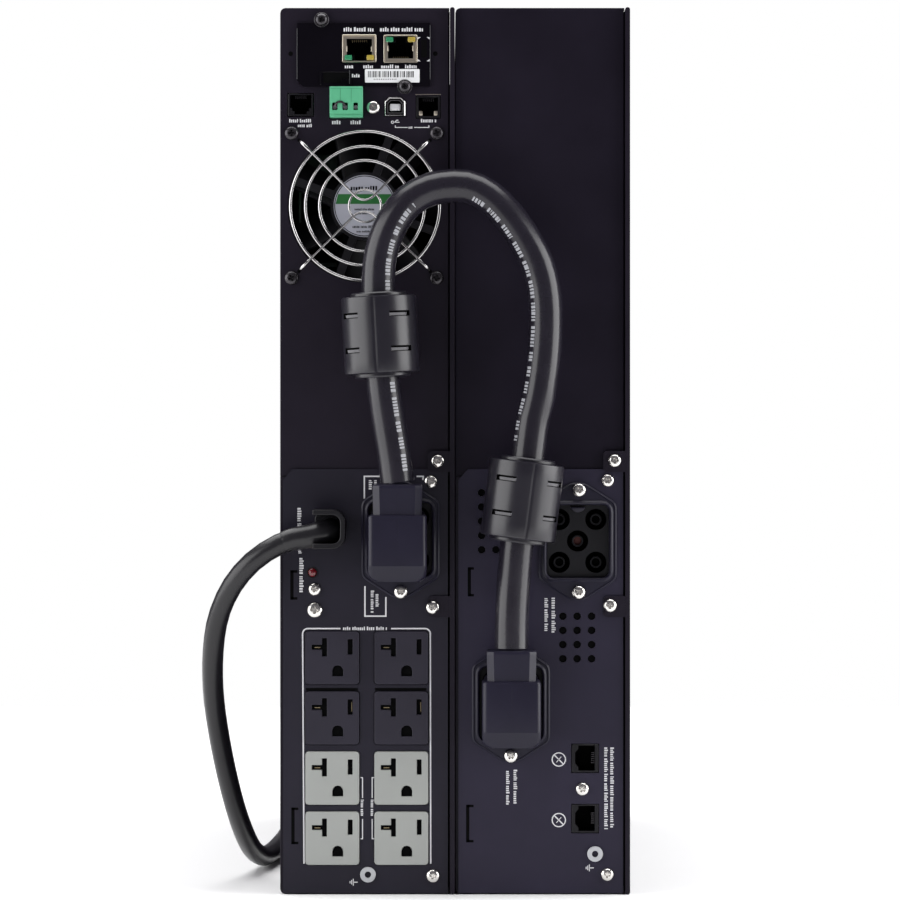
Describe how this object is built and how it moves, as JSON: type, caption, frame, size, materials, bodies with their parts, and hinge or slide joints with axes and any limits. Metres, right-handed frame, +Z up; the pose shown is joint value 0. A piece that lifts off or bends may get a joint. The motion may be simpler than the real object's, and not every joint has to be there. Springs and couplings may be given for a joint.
{
  "type": "rackmount ups",
  "caption": "Rack-size uninterruptible power supply standing on its side next to its matching battery cabinet, joined at the rear by a thick battery cable.",
  "frame": {"origin": "on the standing surface, in the middle of the two housings' common box, cords left out", "axes": "+Z up; rear panels face -Y and bezels face +Y; +X runs from the power supply towards the battery cabinet"},
  "size_m": [0.2135, 0.7438, 0.441],
  "materials": {
    "black_steel": "fine matte powder coat",
    "bezel_plastic": "fine matte texture",
    "button_plastic": "satin",
    "zinc_steel": "satin zinc plate",
    "bright_wire": "bright nickel plate",
    "fan_plastic": "satin",
    "jack_metal": "satin",
    "black_plastic": "satin",
    "plug_plastic": "satin",
    "outlet_grey": "satin",
    "outlet_black": "satin",
    "terminal_green": "satin",
    "led_red": "gloss",
    "cable_jacket": "satin",
    "cord_jacket": "satin",
    "battery_case": "matte",
    "circuit_board": "satin",
    "core_steel": "varnished"
  },
  "bodies": {
    "housings": {"battery_cable": "cable_jacket", "battery_detect_jack": "black_plastic", "battery_plug_cabinet": "plug_plastic", "battery_plug_ups": "plug_plastic", "cabinet_bezel": "bezel_plastic", "cabinet_chassis": "black_steel", "cabinet_connector_panel": "black_steel", "cabinet_cover": "black_steel", "cabinet_ground_nut": "zinc_steel", "cabinet_jack_lower": "black_plastic", "cabinet_jack_upper": "black_plastic", "cabinet_rear_panel": "black_steel", "cabinet_socket_lower": "black_plastic", "cabinet_socket_upper": "black_plastic", "control_panel": "bezel_plastic", "fan_frame": "fan_plastic", "fan_guard": "bright_wire", "ferrite_cabinet": "plug_plastic", "ferrite_ups": "plug_plastic", "main_board": "circuit_board", "outlet_a1": "outlet_grey", "outlet_a2": "outlet_grey", "outlet_a3": "outlet_black", "outlet_a4": "outlet_black", "outlet_b1": "outlet_grey", "outlet_b2": "outlet_grey", "outlet_b3": "outlet_black", "outlet_b4": "outlet_black", "power_cord": "cord_jacket", "power_cord_coil": "cord_jacket", "power_cord_hood": "black_plastic", "power_plug": "plug_plastic", "serial_jack": "black_plastic", "status_led": "led_red", "transformer": "core_steel", "ups_battery_socket": "black_plastic", "ups_bezel": "bezel_plastic", "ups_chassis": "black_steel", "ups_cover": "black_steel", "ups_ground_nut": "zinc_steel", "ups_power_panel": "black_steel", "ups_rear_panel": "black_steel", "usb_socket": "zinc_steel"},
    "fan": {"fan_rotor": "fan_plastic"},
    "network_card": {"network_card": "black_steel", "card_jack_a": "jack_metal", "card_jack_b": "jack_metal"},
    "terminal_plug": {"terminal_plug": "terminal_green"},
    "button_off": {"button_off": "button_plastic"},
    "button_test": {"button_test": "button_plastic"},
    "button_on": {"button_on": "button_plastic"},
    "ups_battery": {"ups_battery_door": "bezel_plastic", "ups_battery_tray": "zinc_steel", "ups_battery_pack": "battery_case"},
    "cabinet_battery_lower": {"cabinet_door_lower": "bezel_plastic", "cabinet_tray_lower": "zinc_steel", "cabinet_pack_lower": "battery_case"},
    "cabinet_battery_upper": {"cabinet_door_upper": "bezel_plastic", "cabinet_tray_upper": "zinc_steel", "cabinet_pack_upper": "battery_case"}
  },
  "joints": [
    {"name": "fan_spin", "type": "hinge", "parent": "housings", "child": "fan", "pos_m": [-0.045, -0.234, 0.3424], "axis": [0, 1, 0], "continuous": true},
    {"name": "card_slide", "type": "slide", "parent": "housings", "child": "network_card", "axis": [0, -1, 0], "range_m": [0, 0.12]},
    {"name": "terminal_plug_pull", "type": "slide", "parent": "housings", "child": "terminal_plug", "axis": [0, -1, 0], "range_m": [0, 0.012]},
    {"name": "button_off_press", "type": "slide", "parent": "housings", "child": "button_off", "axis": [0, -1, 0], "range_m": [0, 0.0018], "stiffness_N_per_m": 600},
    {"name": "button_test_press", "type": "slide", "parent": "housings", "child": "button_test", "axis": [0, -1, 0], "range_m": [0, 0.0018], "stiffness_N_per_m": 600},
    {"name": "button_on_press", "type": "slide", "parent": "housings", "child": "button_on", "axis": [0, -1, 0], "range_m": [0, 0.0018], "stiffness_N_per_m": 600},
    {"name": "ups_battery_slide", "type": "slide", "parent": "housings", "child": "ups_battery", "axis": [0, 1, 0], "range_m": [0, 0.3]},
    {"name": "cabinet_lower_slide", "type": "slide", "parent": "housings", "child": "cabinet_battery_lower", "axis": [0, 1, 0], "range_m": [0, 0.3]},
    {"name": "cabinet_upper_slide", "type": "slide", "parent": "housings", "child": "cabinet_battery_upper", "axis": [0, 1, 0], "range_m": [0, 0.3]}
  ]
}
